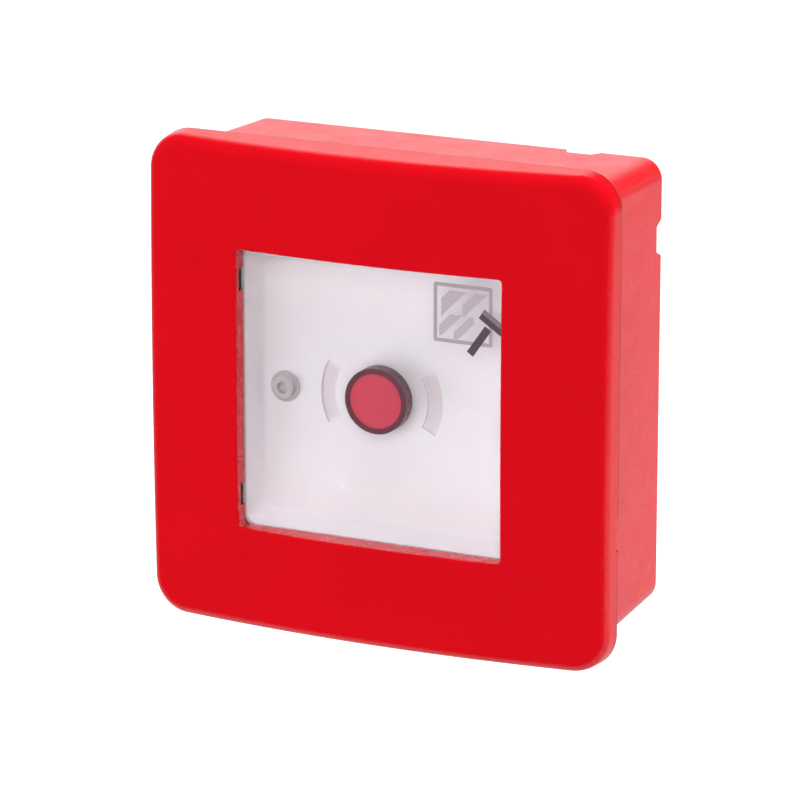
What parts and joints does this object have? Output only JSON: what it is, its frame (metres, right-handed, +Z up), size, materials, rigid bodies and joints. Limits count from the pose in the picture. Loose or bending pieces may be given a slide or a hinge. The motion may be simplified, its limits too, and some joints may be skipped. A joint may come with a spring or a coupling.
{
  "type": "emergency switch enclosure",
  "caption": "Square red wall box with a bowed hinged cover, a breakable clear window and a round red push button on a white inner tray.",
  "frame": {"origin": "centre of the four wall screw holes, on the plane that lies against the wall", "axes": "+Y into the wall, -Y towards the person in front, +X to that person's right, +Z up"},
  "size_m": [0.12, 0.0496, 0.12],
  "materials": {
    "red_plastic": "satin moulded red plastic",
    "clear_pane": "clear brittle pane",
    "black_plastic": "moulded black plastic",
    "white_plastic": "satin moulded white plastic",
    "grey_plastic": "moulded dark grey plastic",
    "red_lens": "gloss tinted red plastic",
    "soft_rubber": "moulded rubber",
    "zinc_steel": "zinc plated steel",
    "contact_brass": "stamped brass"
  },
  "bodies": {
    "enclosure": {"rear_box": "red_plastic", "hinge_pins": "zinc_steel", "inner_tray": "white_plastic", "tray_screw": "zinc_steel", "tray_washer": "zinc_steel", "button_collar": "grey_plastic", "barrel_washer": "soft_rubber", "barrel_nut": "grey_plastic", "contact_block": "grey_plastic", "contact_block_lid": "grey_plastic", "opening_contacts": "contact_brass", "closing_contacts": "contact_brass", "wire_clamps": "zinc_steel", "terminal_screws": "zinc_steel", "rear_grommet": "soft_rubber", "return_spring": "zinc_steel"},
    "cover": {"front_cover": "red_plastic", "cover_gasket": "soft_rubber", "window_pane": "clear_pane", "pane_seal": "soft_rubber", "pane_retainer": "black_plastic", "retainer_screws": "zinc_steel"},
    "button": {"button_lens": "red_lens", "button_plunger": "white_plastic", "opening_bridge": "contact_brass", "bridge_spacer": "white_plastic", "closing_bridge": "contact_brass", "bridge_clip": "zinc_steel"}
  },
  "joints": [
    {"name": "cover_hinge", "type": "hinge", "parent": "enclosure", "child": "cover", "pos_m": [-0.0578, -0.034, 0], "axis": [0, 0, -1], "range_deg": [0, 110]},
    {"name": "button_press", "type": "slide", "parent": "enclosure", "child": "button", "axis": [0, 1, 0], "range_m": [0, 0.003], "stiffness_N_per_m": 400, "springref_m": -0.004, "deforming": ["return_spring"]}
  ]
}
